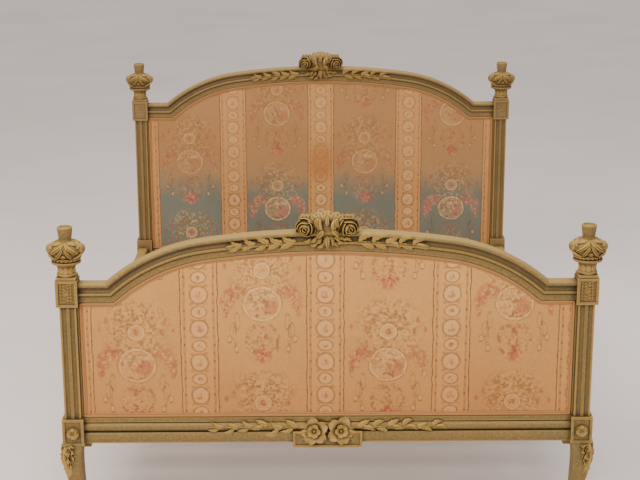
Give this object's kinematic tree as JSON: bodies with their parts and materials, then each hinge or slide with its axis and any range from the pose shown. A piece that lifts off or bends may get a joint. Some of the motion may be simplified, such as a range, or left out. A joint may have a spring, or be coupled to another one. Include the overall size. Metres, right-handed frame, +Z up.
{
  "type": "panel bed",
  "caption": "Upright upholstered panel bed with arched moulded rails, fluted posts on cabriole legs, turned finials and carved crests.",
  "frame": {"origin": "on the floor, at the middle of the bed's box", "axes": "+X across the bed, +Y from the footboard to the headboard, +Z up"},
  "size_m": [1.5902, 2.0922, 1.138],
  "materials": {
    "painted_wood": "aged ochre paint with brown glaze in the carving",
    "raw_wood": "planed, unfinished",
    "toile_fabric": "woven stripe with small medallions and flowers, faded",
    "gimp_braid": "corded braid",
    "backing_cloth": "plain linen",
    "iron": "dark forged",
    "brass": "dull"
  },
  "bodies": {
    "frame": {"bed_bolts": "iron", "bolt_nuts": "iron", "bolt_washers": "iron", "cover_pins": "brass", "foot_bottom_rail": "painted_wood", "foot_crest": "painted_wood", "foot_finial_left": "painted_wood", "foot_finial_right": "painted_wood", "foot_gimp_back": "gimp_braid", "foot_gimp_front": "gimp_braid", "foot_knee_carving_left": "painted_wood", "foot_knee_carving_right": "painted_wood", "foot_lower_flowers": "painted_wood", "foot_lower_spray_left": "painted_wood", "foot_lower_spray_right": "painted_wood", "foot_panel_board": "raw_wood", "foot_post_left": "painted_wood", "foot_post_right": "painted_wood", "foot_spray_left": "painted_wood", "foot_spray_right": "painted_wood", "foot_top_rail": "painted_wood", "foot_upholstery_back": "toile_fabric", "foot_upholstery_front": "toile_fabric", "head_backing_cloth": "backing_cloth", "head_bottom_rail": "painted_wood", "head_crest": "painted_wood", "head_finial_left": "painted_wood", "head_finial_right": "painted_wood", "head_gimp": "gimp_braid", "head_knee_carving_left": "painted_wood", "head_knee_carving_right": "painted_wood", "head_panel_board": "raw_wood", "head_post_left": "painted_wood", "head_post_right": "painted_wood", "head_spray_left": "painted_wood", "head_spray_right": "painted_wood", "head_top_rail": "painted_wood", "head_upholstery": "toile_fabric", "ledger_screws": "iron", "rail_dowels": "raw_wood", "side_ledger_left": "raw_wood", "side_ledger_right": "raw_wood", "side_rail_left": "painted_wood", "side_rail_right": "painted_wood", "slat_01": "raw_wood", "slat_02": "raw_wood", "slat_03": "raw_wood", "slat_04": "raw_wood", "slat_05": "raw_wood", "slat_06": "raw_wood", "slat_07": "raw_wood", "slat_08": "raw_wood", "slat_09": "raw_wood", "slat_10": "raw_wood", "slat_11": "raw_wood", "slat_12": "raw_wood"},
    "foot_bolt_cover_left": {"foot_bolt_cover_left": "painted_wood"},
    "foot_bolt_cover_right": {"foot_bolt_cover_right": "painted_wood"},
    "head_bolt_cover_left": {"head_bolt_cover_left": "painted_wood"},
    "head_bolt_cover_right": {"head_bolt_cover_right": "painted_wood"}
  },
  "joints": [
    {"name": "foot_cover_left_swing", "type": "hinge", "parent": "frame", "child": "foot_bolt_cover_left", "pos_m": [-0.739, -1.0235, 0.315], "axis": [0, 1, 0], "range_deg": [-170, 170]},
    {"name": "foot_cover_right_swing", "type": "hinge", "parent": "frame", "child": "foot_bolt_cover_right", "pos_m": [0.739, -1.0235, 0.315], "axis": [0, 1, 0], "range_deg": [-170, 170]},
    {"name": "head_cover_left_swing", "type": "hinge", "parent": "frame", "child": "head_bolt_cover_left", "pos_m": [-0.739, 1.0235, 0.315], "axis": [0, 1, 0], "range_deg": [-170, 170]},
    {"name": "head_cover_right_swing", "type": "hinge", "parent": "frame", "child": "head_bolt_cover_right", "pos_m": [0.739, 1.0235, 0.315], "axis": [0, 1, 0], "range_deg": [-170, 170]}
  ]
}
